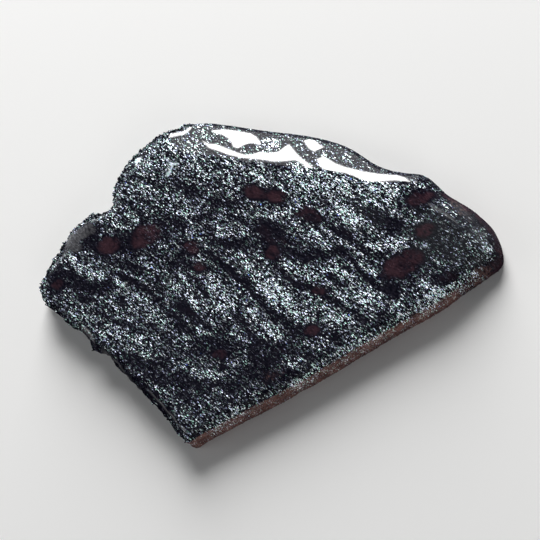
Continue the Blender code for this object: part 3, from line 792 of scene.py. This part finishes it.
@dataclass(frozen=True)
class StoneFinish:
    """The colours and grain of the specular hematite.

    Colours of the flakes come first, then those of the ground between them. A flake's glint is
    painted into the base colour, up to brighter than white; part of its sparkle is real, from a
    metallic share and tilted normals. Contrasts and dimmings say how far a pattern brightens or
    darkens the flakes' painted glints, in powers of e.
    """

    # tints of the flakes' painted glints
    flake: Colour = (0.92, 1.0, 1.03)
    flake_green: Colour = (0.58, 1.06, 0.88)
    flake_violet: Colour = (0.84, 0.92, 1.36)
    flake_blue: Colour = (0.15, 0.25, 1.0)
    faint: Colour = (0.86, 0.86, 1.25)
    matrix: Colour = (0.0008, 0.0008, 0.0045)
    veil: Colour = (0.0185, 0.0160, 0.0250)
    dust: Colour = (0.046, 0.050, 0.052)
    maroon: Colour = (0.060, 0.0270, 0.0350)
    brown: Colour = (0.330, 0.172, 0.145)
    # grey of the ground spots, and of the painted glint line on the front rim
    ground_and_glint: Colour = (0.135, 0.135, 0.142)

    layers: tuple[FlakeLayer, ...] = (
        FlakeLayer((0.27, 0.115, 0.25), -40.0, 0.0000081, 25.0),
        FlakeLayer((0.38, 0.14, 0.50), -34.0, 0.0000012, 28.0),
    )
    drift: Grain = Grain((5.0, 5.0, 5.0))
    drift_reach: float = 2.2
    ruffle: Grain = Grain((1.6, 1.6, 1.6), detail=1.0)
    ruffle_reach: float = 0.38
    bands: Grain = Grain((6.0, 1.3, 3.0), -28.0, 2.0, 0.55)
    streaks: Grain = Grain((5.0, 0.62, 2.0), -30.0, 2.0, 0.55)
    threads: Grain = Grain((2.0, 0.25, 2.0), -36.0, 1.0, 0.5)
    rags: Grain = Grain((0.7, 0.45, 0.7), -36.0, 2.0, 0.6)
    clouds: Grain = Grain((2.1, 1.3, 2.1), -36.0, 2.0, 0.6)
    mottle: Grain = Grain((0.75, 0.26, 0.5), -36.0, 3.0, 0.7)
    saw_lines: Grain = Grain((30.0, 0.7, 0.7), 33.0, 2.0, 0.6)

    band_contrast: float = 1.0
    streak_contrast: float = 4.2
    thread_contrast: float = 5.8
    field_contrast: float = 6.0
    fine_dimming: float = 0.8
    dull_dimming: float = 2.8
    bare_dimming: float = 4.0
    # the brightest painted glint: over 1, so that a flake's painted glint outshines a white surface
    brightest: float = 2.6
    tilt: float = 0.20

    blot_clouds: float = 2.0
    blot_rags: float = 1.2
    dull_span: Span = (0.0, 0.85)
    ruddy_span: Span = (0.30, 1.20)
    stain_rags: float = 0.9
    stain_span: Span = (0.25, 0.75)
    ground_and_glint_rags: float = 1.6
    ground_and_glint_least: float = 0.2
    ground_and_glint_span: Span = (0.15, 1.15)
    green_span: Span = (0.45, 0.15)
    violet_span: Span = (0.62, 0.88)
    blue_span: Span = (0.996, 0.997)
    faint_span: Span = (0.10, 0.0)
    veil_span: Span = (0.44, 0.66)
    even_span: Span = (0.3, 0.7)
    rich_least: float = 0.4
    saw_least: float = 0.65
    stain_least: float = 0.5

    metal_span: Span = (0.05, 0.5)
    metal: float = 0.5
    roughness: float = 0.45
    coat_roughness: float = 0.03
    coat_ior: float = 2.0

    def make(self) -> bpy.types.Material:
        """Builds the material.

        Returns:
            The stone's material.
        """
        sheet = ShaderSheet("specular_hematite")
        place = sheet.position()
        shine, maroon, brown, ground_and_glint, fine, painted_highlight, bare, polish = map(sheet.attribute, FIELDS)

        warped = sheet.shifted(place, self.drift, self.drift_reach)
        ruffled = sheet.shifted(place, self.ruffle, self.ruffle_reach)
        bands, streaks, threads = (
            sheet.shade(warped, grain) for grain in (self.bands, self.streaks, self.threads)
        )
        rags, clouds = sheet.shade(place, self.rags), sheet.shade(place, self.clouds)
        blot = maroon * (clouds.centred() * self.blot_clouds + rags.centred() * self.blot_rags + 1.0)
        dull = blot.ramp(self.dull_span)
        stops = (
            bands.centred() * self.band_contrast
            + streaks.centred() * self.streak_contrast
            + threads.centred() * self.thread_contrast
            + shine.centred() * self.field_contrast
            - fine * self.fine_dimming
            - dull * self.dull_dimming
            - bare * self.bare_dimming
        )
        randoms = [sheet.cells(sheet.stretched(ruffled, layer.cell, layer.turn)) for layer in self.layers]
        lucks, hues, _ = zip(*map(sheet.parts, randoms))
        # each layer's flakes get a painted glint in the base colour, from the marks' stops and their luck
        shone = [
            sheet.maths("EXPONENT", stops + luck.centred() * layer.contrast) * layer.level
            for luck, layer in zip(lucks, self.layers)
        ]
        # painted highlights add to the painted glint
        painted_glint = sheet.maths("MINIMUM", sum(shone[1:], shone[0]) + painted_highlight, self.brightest)

        tint = sheet.mix(hues[0].ramp(self.green_span), self.flake, self.flake_green)
        tint = sheet.mix(hues[0].ramp(self.violet_span), tint, self.flake_violet)
        tint = sheet.mix(hues[0].ramp(self.blue_span), tint, self.flake_blue)
        tint = sheet.mix(painted_glint.ramp(self.faint_span), tint, self.faint)

        mottle = sheet.shade(ruffled, self.mottle)
        rich = mottle.ramp(self.even_span).at_least(self.rich_least)
        saw = sheet.shade(place, self.saw_lines).ramp(self.even_span).at_least(self.saw_least)
        stain = (brown + rags.centred() * self.stain_rags).ramp(self.stain_span) * rich * saw
        stain = stain * bands.ramp(self.even_span).at_least(self.stain_least)
        # ground spots, and the painted glint line on the front rim
        ground_and_glint_share = (ground_and_glint * (rags * self.ground_and_glint_rags + self.ground_and_glint_least)).ramp(self.ground_and_glint_span)
        ground = sheet.mix(mottle.ramp(self.veil_span), self.matrix, self.veil)
        ground = sheet.mix(fine * rich, ground, self.dust)
        ground = sheet.mix(blot.ramp(self.ruddy_span) * rich, ground, self.maroon)
        ground = sheet.mix(stain, ground, self.brown)
        ground = sheet.mix(ground_and_glint_share * rich, ground, self.ground_and_glint)

        # the tinted painted glints are added to the ground's own colour
        flakes = sheet.mix(1.0, tint, sheet.grey(painted_glint), "MULTIPLY")
        surface = Wire(sheet, sheet.node("ShaderNodeNewGeometry").outputs["Normal"])
        sheet.finish(
            {
                "Base Color": sheet.mix(1.0, ground, flakes, "ADD"),
                "Metallic": painted_glint.ramp(self.metal_span) * self.metal,
                "Roughness": self.roughness,
                "Normal": sheet.vector("NORMALIZE", sheet.leaned(surface, randoms[0], 2.0 * self.tilt)),
                "Specular IOR Level": 0.0,
                "Coat Weight": polish,
                "Coat Roughness": self.coat_roughness,
                "Coat IOR": self.coat_ior,
            }
        )
        return sheet.material


@dataclass(frozen=True)
class Zones:
    """Where the slab's zones lie, and how strongly each takes its tones.

    Attributes:
        wander_size: size of the waves in the marks' outlines.
        wander: and their height.
        upper: heights between which the face's marks fade in.
        bright: how much brighter a bright mark is.
        dark: how much darker a dark one is.
        tip: distances from the tip's rim between which its dark band fades in.
        tip_maroon: how maroon that band is.
        tip_bare: how bare of flakes it is.
        wall: distances from the sawn edge between which its wall fades in.
        wall_height: heights between which it fades in.
        wall_bare: how bare of flakes the wall is.
        wall_end: places along the slab between which its stain fades.
        wall_fade: how much of the stain is lost there.
        brown: how brown a brown mark is.
        under: heights between which the back fades in.
        under_stain: how brown and how bare the back is.
        facing: how far up a surface must face to be polished.
        rim: distances from a broken edge between which the polish fades in.
        sawn_rim: distances from the sawn edge and the tip between which it fades out.
        sawn_loss: how much of it is lost there.
        shoulder: distances from the far rim between which the shoulder fades in.
        shoulder_tilt: tilts between which it fades in.
        shoulder_steepest: its steepest tilt that has a gloss.
        shoulder_gloss: how glossy it is between its polished lands.
        shoulder_painted_shade: painted shade on the sloping shoulder, as how much less its flakes'
            painted glints shine.
        shoulder_start: places along the slab between which that fades in.
        seed: picks the waves in the marks' outlines.
    """

    wander_size: float = 1.6
    wander: float = 0.55
    upper: Span = (1.0, 3.0)
    bright: float = 0.5
    dark: float = 0.55
    tip: Span = (1.7, 0.5)
    tip_maroon: float = 0.7
    tip_bare: float = 0.2
    wall: Span = (2.0, 0.5)
    wall_height: Span = (6.2, 5.0)
    wall_bare: float = 0.34
    wall_end: Span = (38.0, 40.5)
    wall_fade: float = 0.55
    brown: float = 0.5
    under: Span = (0.3, 0.1)
    under_stain: float = 0.45
    facing: Span = (0.15, 0.5)
    rim: Span = (0.8, 2.0)
    sawn_rim: Span = (2.6, 1.4)
    sawn_loss: float = 0.95
    shoulder: Span = (11.0, 9.5)
    shoulder_tilt: Span = (2.0, 4.5)
    shoulder_steepest: float = 60.0
    shoulder_gloss: float = 0.055
    shoulder_painted_shade: float = 0.20
    shoulder_start: Span = (-16.5, -12.5)
    seed: int = 7

    def fields(self, points: np.ndarray, normals: np.ndarray) -> dict[str, np.ndarray]:
        """What the finish reads, at each point of the stone.

        Args:
            points: the points, in millimetres.
            normals: the surface's direction at each.

        Returns:
            The fields' values, by name.
        """
        x, y, z = points.T
        noise.seed_set(self.seed)
        waves = np.array([noise.noise_vector(Vector(point) / self.wander_size) for point in points])
        wavy_x, wavy_y = x + waves[:, 0] * self.wander, y + waves[:, 1] * self.wander
        tones = {tone: np.zeros(len(x)) for tone in Tone}
        for mark in MARKS:
            tones[mark.tone] = np.maximum(tones[mark.tone], mark.cover(wavy_x, wavy_y))
        # bright and dark marks raise and lower the flakes' painted glints
        flakes = self.bright * tones[Tone.BRIGHT] - self.dark * tones[Tone.DARK]
        tip = smooth_step(self.tip, edge_distance(wavy_x, wavy_y, TIP_EDGE))
        to_saw = edge_distance(x, y, SAWN_EDGE)
        wall = smooth_step(self.wall_height, z) * smooth_step(self.wall, to_saw) * (1.0 - tip)
        stained = wall * (1.0 - self.wall_fade * smooth_step(self.wall_end, wavy_x))
        under = smooth_step(self.under, z)
        back = self.under_stain * under
        shoulder = self.shoulder_share(points, normals)
        # painted shade: the flakes' painted glints are dimmed on the sloping shoulder
        painted_shoulder_shade = self.shoulder_painted_shade * shoulder * smooth_step(self.shoulder_start, x)
        # ground spots, and the painted glint line on the front rim
        ground = tones[Tone.SATIN]
        return {
            "shine": 0.5 + flakes * smooth_step(self.upper, z) - painted_shoulder_shade,
            "maroon": np.maximum(tones[Tone.MAROON] * (1.0 - under), self.tip_maroon * tip),
            "brown": np.maximum.reduce([stained, self.brown * tones[Tone.BROWN], back]),
            "ground_and_glint": ground,
            "fine": tones[Tone.FINE],
            "painted_highlight": tones[Tone.MIRROR],
            "bare": np.maximum.reduce([self.tip_bare * tip, ground, self.wall_bare * wall, back]),
            "polish": self.polish_share(points, normals, shoulder, ground),
        }

    def shoulder_share(self, points: np.ndarray, normals: np.ndarray) -> np.ndarray:
        """How far each point belongs to the far shoulder, from 0 to 1."""
        near = smooth_step(self.shoulder, edge_distance(points[:, 0], points[:, 1], SHOULDER_EDGE))
        return near * smooth_step(self.shoulder_tilt, tilts(normals))

    def polish_share(
        self, points: np.ndarray, normals: np.ndarray, shoulder: np.ndarray, ground: np.ndarray
    ) -> np.ndarray:
        """How glossy each point is, from 0 to 1.

        Args:
            points: the points, in millimetres.
            normals: the surface's direction at each.
            shoulder: how far each belongs to the shoulder.
            ground: how far each is a dull ground spot, and along the front rim a painted glint line.

        Returns:
            One number for each point.
        """
        x, y = points[:, 0], points[:, 1]
        sawn = np.minimum(edge_distance(x, y, SAWN_EDGE), edge_distance(x, y, TIP_EDGE))
        polish = smooth_step(self.facing, normals[:, 2]) * smooth_step(self.rim, break_distance(points))
        polish *= 1.0 - self.sawn_loss * smooth_step(self.sawn_rim, sawn)
        polish *= 1.0 - ground
        land = land_cover(points)
        gloss = np.where(tilts(normals) < self.shoulder_steepest, self.shoulder_gloss, 0.0)
        return polish + (np.maximum(land, gloss) - polish) * np.maximum(shoulder, land)


@dataclass
class HematiteSlab:
    """The stone: its fine surface, and the fields that its finish reads.

    Attributes:
        weld: points of the CAD solid closer than this are one.
        voxel: grain of the fine mesh.
        smoothing: passes that polish the facets out of the face and shoulder.
        smoothing_step: how far each pass goes.
        smooth_facing: how far up a surface must face to be smoothed.
        smooth_rim: distances from a broken edge between which smoothing fades in.
        roll_height: height of the face's gentle roll.
        roll_length: and its length.
        roll_facing: how far up a surface must face to have it.
        crumb_height: how far the crumbs of a broken edge stand out.
        crumb_size: and how wide they are.
        crumb_jitter: how unevenly they are spread.
        crumb_facing: a surface that faces further down has none.
        break_reach: how far in from a broken edge the rough surface goes.
        back_cut: height of the cut that takes the grain off the back.
        cut_slack: points closer to the cut than this are on it.
        back_slack: points this little above the cut are on the back.
        crease: edges sharper than this, in degrees, look sharp.
        zones: where its zones lie.
        finish: its colours and grain.
    """

    weld: float = 0.01
    voxel: float = 0.28
    smoothing: int = 30
    smoothing_step: float = 0.5
    smooth_facing: Span = (0.1, 0.4)
    smooth_rim: Span = (0.4, 2.0)
    roll_height: float = 0.05
    roll_length: float = 6.0
    roll_facing: float = 0.3
    crumb_height: float = 0.28
    crumb_size: float = 0.8
    crumb_jitter: float = 0.2
    crumb_facing: float = -0.9
    break_reach: float = 1.1
    back_cut: float = 0.05
    cut_slack: float = 0.0001
    back_slack: float = 0.01
    crease: float = 40.0
    zones: Zones = field(default_factory=Zones)
    finish: StoneFinish = field(default_factory=StoneFinish)

    def build(self) -> bpy.types.Object:
        """Makes the stone in place of its CAD solid.

        Returns:
            The stone's object.
        """
        stone = self.copy_solid()
        self.remesh(stone)
        self.smooth(stone)
        self.roughen(stone)
        self.flatten_back(stone)
        fields = self.zones.fields(mesh_points(stone.data), mesh_normals(stone.data))
        for name in FIELDS:
            store(stone.data, name, fields[name])
        stone.data.materials.clear()
        stone.data.materials.append(self.finish.make())
        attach(stone, BODY)
        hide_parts(CAD_NODE)
        return stone

    def copy_solid(self) -> bpy.types.Object:
        """A merged copy of the CAD solid, alone in the selection.

        Returns:
            The copy.
        """
        stone = add_object("hematite_stone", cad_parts[CAD_NODE].data.copy())
        with editing(stone):
            bpy.ops.mesh.remove_doubles(threshold=self.weld * MM)
        return stone

    def remesh(self, stone: bpy.types.Object) -> None:
        """Gives the stone an even fine mesh.

        Args:
            stone: the stone.
        """
        grain = stone.modifiers.new("grain", "REMESH")
        grain.mode = "VOXEL"
        grain.voxel_size = self.voxel * MM
        bpy.ops.object.modifier_apply(modifier=grain.name)

    def smooth(self, stone: bpy.types.Object) -> None:
        """Smooths the ground and polished surfaces, and leaves the broken edges as they are.

        Args:
            stone: the stone.
        """
        points, normals = mesh_points(stone.data), mesh_normals(stone.data)
        near = smooth_step(self.smooth_rim, break_distance(points))
        weight = smooth_step(self.smooth_facing, normals[:, 2]) * near
        group = stone.vertex_groups.new(name="polished")
        for i in np.flatnonzero(weight > 0):
            group.add([int(i)], float(weight[i]), "REPLACE")
        lap = stone.modifiers.new("lap", "SMOOTH")
        lap.factor = self.smoothing_step
        lap.iterations = self.smoothing
        lap.vertex_group = group.name
        bpy.ops.object.modifier_apply(modifier=lap.name)

    def roughen(self, stone: bpy.types.Object) -> None:
        """Rolls the polished face gently, and crumbles the broken edges.

        Args:
            stone: the stone.
        """
        points, normals = mesh_points(stone.data), mesh_normals(stone.data)
        broken = break_distance(points)
        for i, spot in enumerate(points):
            place = Vector(spot)
            if normals[i, 2] > self.roll_facing:
                points[i, 2] += self.roll_height * noise.noise(place / self.roll_length)
            near = max(0.0, 1.0 - broken[i] / self.break_reach)
            if near > 0 and normals[i, 2] > self.crumb_facing:
                jitter = noise.cell_vector(place / self.crumb_size) * self.crumb_jitter
                crumb = noise.noise(place / self.crumb_size + jitter)
                points[i] += normals[i] * (crumb * near * self.crumb_height)
        set_points(stone.data, np.clip(points, *box_corners()))

    def flatten_back(self, stone: bpy.types.Object) -> None:
        """Lays the back flat on its plane and makes it one face.

        Args:
            stone: the stone.
        """
        with editing(stone):
            bpy.ops.mesh.bisect(
                plane_co=(0.0, 0.0, self.back_cut * MM),
                plane_no=(0.0, 0.0, 1.0),
                use_fill=True,
                clear_inner=True,
                threshold=self.cut_slack * MM,
            )
        points = mesh_points(stone.data)
        points[points[:, 2] < self.back_cut + self.back_slack, 2] = 0.0
        set_points(stone.data, points)
        bpy.ops.object.shade_smooth_by_angle(angle=math.radians(self.crease))


@dataclass
class BrokenCrust:
    """Small plates of hematite that stand out of the broken edges.

    Attributes:
        count: how many there are.
        smallest: radius of the smallest plate.
        largest: and of the largest.
        thickness: a plate's thickness, as a share of its radius.
        sides: how many sides it has.
        raggedness: how unevenly its corners stick out.
        sunk: how deep its middle lies, as a share of its radius.
        reach: how far in from a broken edge they grow.
        front: they grow thinly where y is less than this.
        front_share: how thinly.
        facing: a surface that faces further down has none.
        land_limit: how far a place may be inside a land.
        ground_limit: how far it may be ground.
        lowest: they keep this far above the back.
        margin: and this far inside the slab's box.
        shine: the brightness of their flakes, from the least to the most.
        glossy: the shares of luck between which a plate gets glossy.
        gloss: how glossy it gets.
        seed: picks their places and turns.
    """

    count: int = 2200
    smallest: float = 0.16
    largest: float = 0.60
    thickness: float = 0.45
    sides: int = 6
    raggedness: float = 0.3
    sunk: float = 0.2
    reach: float = 0.9
    front: float = -4.0
    front_share: float = 0.08
    facing: float = -0.2
    land_limit: float = 0.1
    ground_limit: float = 0.3
    lowest: float = 0.6
    margin: float = 0.05
    shine: Span = (0.25, 0.75)
    glossy: Span = (0.6, 0.9)
    gloss: float = 0.15
    seed: int = 11

    def build(self, stone: bpy.types.Object) -> bpy.types.Object:
        """Makes all the plates as one mesh.

        Args:
            stone: the stone that they grow from.

        Returns:
            The crust's object.
        """
        points, normals = mesh_points(stone.data), mesh_normals(stone.data)
        random = np.random.default_rng(self.seed)
        grows = self.may_grow(points, normals, random)
        corners, faces = self.plate()
        plates = []
        for root in random.choice(np.flatnonzero(grows), self.count):
            radius = self.smallest + (self.largest - self.smallest) * random.random() ** 2
            turn = np.linalg.qr(random.normal(size=(3, 3)))[0]
            turn *= np.sign(np.linalg.det(turn))
            uneven = random.uniform(-self.raggedness, self.raggedness, (len(corners), 1))
            middle = points[root] - normals[root] * self.sunk * radius
            plate = middle + (corners * (1.0 + uneven) * radius) @ turn.T
            if self.inside(plate):
                plates.append(plate)
        firsts = np.arange(len(plates)) * len(corners)
        triangles = (np.array(faces) + firsts[:, None, None]).reshape(-1, 3)
        mesh = bpy.data.meshes.new("broken_crust")
        mesh.from_pydata((np.concatenate(plates) * MM).tolist(), [], triangles.tolist())
        mesh.update()
        crust = add_object("broken_crust", mesh)
        luck = np.repeat(random.random(len(plates)), len(corners))
        store(mesh, "shine", self.shine[0] + (self.shine[1] - self.shine[0]) * luck)
        store(mesh, "polish", self.gloss * smooth_step(self.glossy, luck))
        mesh.materials.append(stone.data.materials[0])
        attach(crust, BODY)
        return crust

    def may_grow(
        self, points: np.ndarray, normals: np.ndarray, random: np.random.Generator
    ) -> np.ndarray:
        """Which points of the stone a plate may grow from.

        Args:
            points: the stone's points.
            normals: its surface's direction at each.
            random: where luck comes from.

        Returns:
            True or False for each point.
        """
        x, y, z = points.T
        thick = random.random(len(points)) < np.where(y > self.front, 1.0, self.front_share)
        # the ground spot on the left break and the painted glint line on the front rim stay clear of
        # plates
        rims = [mark for mark in MARKS if isinstance(mark, Seam) and mark.tone is Tone.SATIN]
        ground = np.max([rim.cover(x, y) for rim in rims], axis=0)
        near = (break_distance(points) < self.reach) & (z > self.lowest)
        clear = (land_cover(points) < self.land_limit) & (ground < self.ground_limit)
        return near & clear & thick & (normals[:, 2] > self.facing)

    def plate(self) -> tuple[np.ndarray, list[list[int]]]:
        """The corners and triangles of one plate of radius 1.

        Returns:
            The corners, and the three corners of each triangle.
        """
        angles = [math.radians(360.0 * i / self.sides) for i in range(self.sides)]
        rim = [(math.cos(angle), math.sin(angle), 0.0) for angle in angles]
        top, foot = self.sides, self.sides + 1
        faces = []
        for tip, order in ((top, (0, 1)), (foot, (1, 0))):
            faces += [[(i + step) % self.sides for step in order] + [tip] for i in range(self.sides)]
        return np.array([*rim, (0.0, 0.0, self.thickness), (0.0, 0.0, -self.thickness)]), faces

    def inside(self, plate: np.ndarray) -> bool:
        """Whether a plate lies within the slab's box."""
        low, high = box_corners()
        return bool((plate > low + self.margin).all() and (plate < high - self.margin).all())


# ---------------------------------------------------------------------------
# The studio
# ---------------------------------------------------------------------------


@dataclass
class SoftLight:
    """A rectangular light that faces the slab.

    Attributes:
        name: its name.
        azimuth: the bearing it shines from, in degrees from +X towards +Y.
        elevation: its height above the floor, in degrees.
        size: its width and height, in metres.
        radiance: how bright its face is.
        distance: how far it is from the slab, in metres.
    """

    name: str
    azimuth: float
    elevation: float
    size: tuple[float, float]
    radiance: float
    distance: float = 1.0

    def build(self, target: Vector) -> None:
        """Places the light.

        Args:
            target: the point it faces.
        """
        lamp = bpy.data.lights.new(self.name, "AREA")
        lamp.shape = "RECTANGLE"
        lamp.size, lamp.size_y = self.size
        lamp.energy = self.radiance * math.pi * self.size[0] * self.size[1]
        bearing, height = math.radians(self.azimuth), math.radians(self.elevation)
        flat = math.cos(height)
        back = Vector((math.cos(bearing) * flat, math.sin(bearing) * flat, math.sin(height)))
        right = Vector((0.0, 0.0, 1.0)).cross(back).normalized()
        place = target + back * self.distance
        add_object(self.name, lamp).matrix_world = axes_matrix(right, back, place)


@dataclass
class Studio:
    """The floor, the lights and the camera.

    Attributes:
        camera_azimuth: the camera's bearing in degrees, from -Y towards +X.
        camera_elevation: its height above the floor, in degrees.
        camera_distance: how far it is from its target, in metres.
        lens: its focal length.
        sensor: its sensor's width.
        clip_start: the nearest that it sees, in metres.
        target: the point at the middle of its view.
        floor_size: the floor's width, in metres.
        floor_drop: how far the floor lies below the slab.
        floor_colour: its colour.
        floor_roughness: and its roughness.
        horizon_glow: strength of the light from all round, at the horizon.
        overhead_glow: and overhead.
        overhead_height: sine of the elevation where that begins.
        world_colour: its colour.
        lights: the lights.
    """

    camera_azimuth: float = 46.0
    camera_elevation: float = 66.0
    camera_distance: float = 0.300
    lens: float = 100.0
    sensor: float = 36.0
    clip_start: float = 0.01
    target: tuple[float, float, float] = (1.614, 1.773, 3.5)
    floor_size: float = 4.0
    floor_drop: float = 0.02
    floor_colour: Colour = (0.92, 0.913, 0.900)
    floor_roughness: float = 0.9
    horizon_glow: float = 0.50
    overhead_glow: float = 0.014
    overhead_height: float = 0.75
    world_colour: Colour = (0.92, 0.96, 1.0)
    lights: tuple[SoftLight, ...] = (
        SoftLight("window", 99.0, 27.0, (0.60, 0.86), 11.0),
        SoftLight("left_fill", 195.0, 30.0, (0.5, 0.4), 1.2),
        SoftLight("front_fill", -60.0, 30.0, (0.6, 0.4), 1.2),
    )

    def build(self) -> None:
        """Makes the whole studio."""
        target = Vector(self.target) * MM
        self.build_floor()
        for light in self.lights:
            light.build(target)
        self.build_camera(target)
        self.build_world()
        bpy.context.scene.view_settings.view_transform = "Standard"

    def build_floor(self) -> None:
        """A plain pale floor under the slab."""
        deselect_all()
        place = (0.0, 0.0, -self.floor_drop * MM)
        bpy.ops.mesh.primitive_plane_add(size=self.floor_size, location=place)
        floor = bpy.context.object
        floor.name = "studio_floor"
        sheet = ShaderSheet("studio_floor")
        sheet.finish({"Base Color": self.floor_colour, "Roughness": self.floor_roughness})
        floor.data.materials.append(sheet.material)

    def build_camera(self, target: Vector) -> None:
        """A camera that looks down from the front right, with the slab's length level in its frame.

        Args:
            target: the point at the middle of its view.
        """
        lens = bpy.data.cameras.new("camera")
        lens.lens = self.lens
        lens.sensor_width = self.sensor
        lens.clip_start = self.clip_start
        bearing, height = math.radians(self.camera_azimuth), math.radians(self.camera_elevation)
        flat = math.cos(height)
        back = Vector((math.sin(bearing) * flat, -math.cos(bearing) * flat, math.sin(height)))
        length = Vector((1.0, 0.0, 0.0))
        right = (length - back * length.dot(back)).normalized()
        camera = add_object("camera", lens)
        camera.matrix_world = axes_matrix(right, back, target + back * self.camera_distance)
        bpy.context.scene.camera = camera

    def build_world(self) -> None:
        """Even light from all round, brighter towards the horizon than overhead."""
        world = bpy.data.worlds.new("studio")
        world.use_nodes = True
        tree = world.node_tree
        sky = tree.nodes["Background"]
        sky.inputs["Color"].default_value = (*self.world_colour, 1.0)
        place = tree.nodes.new("ShaderNodeTexCoord")
        parts = tree.nodes.new("ShaderNodeSeparateXYZ")
        fade = tree.nodes.new("ShaderNodeMapRange")
        fade.inputs["From Max"].default_value = self.overhead_height
        fade.inputs["To Min"].default_value = self.horizon_glow
        fade.inputs["To Max"].default_value = self.overhead_glow
        tree.links.new(place.outputs["Generated"], parts.inputs[0])
        tree.links.new(parts.outputs["Z"], fade.inputs["Value"])
        tree.links.new(fade.outputs["Result"], sky.inputs["Strength"])
        bpy.context.scene.world = world


# ---------------------------------------------------------------------------
# Helpers
# ---------------------------------------------------------------------------


def axes_matrix(right: Vector, back: Vector, place: Vector) -> Matrix:
    """The matrix of an object at this place with these X and Z axes."""
    turn = Matrix((right, back.cross(right), back)).transposed().to_4x4()
    return Matrix.Translation(place) @ turn


def add_object(name: str, data: bpy.types.ID) -> bpy.types.Object:
    """Adds an object to the scene.

    Args:
        name: its name.
        data: its mesh, light or camera.

    Returns:
        The object.
    """
    made = bpy.data.objects.new(name, data)
    bpy.context.scene.collection.objects.link(made)
    return made


def deselect_all() -> None:
    """Clears the selection."""
    for obj in bpy.context.selected_objects:
        obj.select_set(False)


@contextmanager
def editing(obj: bpy.types.Object) -> Iterator[None]:
    """Edit mode on one object, with all of its mesh selected, and it stays the selected one.

    Args:
        obj: the object.

    Yields:
        Nothing.
    """
    deselect_all()
    obj.select_set(True)
    bpy.context.view_layer.objects.active = obj
    bpy.ops.object.mode_set(mode="EDIT")
    bpy.ops.mesh.select_all(action="SELECT")
    yield
    bpy.ops.object.mode_set(mode="OBJECT")


def mesh_points(mesh: bpy.types.Mesh) -> np.ndarray:
    """A mesh's points in millimetres, one row each.

    Args:
        mesh: the mesh.

    Returns:
        The points.
    """
    points = np.empty(len(mesh.vertices) * 3)
    mesh.vertices.foreach_get("co", points)
    return points.reshape(-1, 3) / MM


def set_points(mesh: bpy.types.Mesh, points: np.ndarray) -> None:
    """Moves a mesh's points to these places, in millimetres."""
    mesh.vertices.foreach_set("co", (points * MM).ravel())
    mesh.update()


def mesh_normals(mesh: bpy.types.Mesh) -> np.ndarray:
    """The normals at a mesh's points, one row each.

    Args:
        mesh: the mesh.

    Returns:
        The normals.
    """
    normals = np.empty(len(mesh.vertices) * 3, np.float32)
    mesh.vertex_normals.foreach_get("vector", normals)
    return normals.reshape(-1, 3)


def tilts(normals: np.ndarray) -> np.ndarray:
    """How far each direction leans from straight up, in degrees."""
    return np.degrees(np.arccos(np.clip(normals[:, 2], -1.0, 1.0)))


def box_corners() -> tuple[np.ndarray, np.ndarray]:
    """The lowest and highest corner of the CAD box, in millimetres."""
    low, high = (np.array(corner) / MM for corner in CAD_BOX)
    return low, high


def store(mesh: bpy.types.Mesh, name: str, values: np.ndarray) -> None:
    """Stores one number at each point of a mesh."""
    layer = mesh.attributes.new(name, "FLOAT", "POINT")
    layer.data.foreach_set("value", values.astype(np.float32))


def main() -> None:
    """Dresses the slab and sets up the studio."""
    logging.basicConfig(level=logging.INFO, format="%(name)s: %(message)s")
    stone = HematiteSlab().build()
    crust = BrokenCrust().build(stone)
    for piece in (stone, crust):
        log.info("%s: %d faces", piece.name, len(piece.data.polygons))
    Studio().build()


if __name__ == "__main__":
    main()
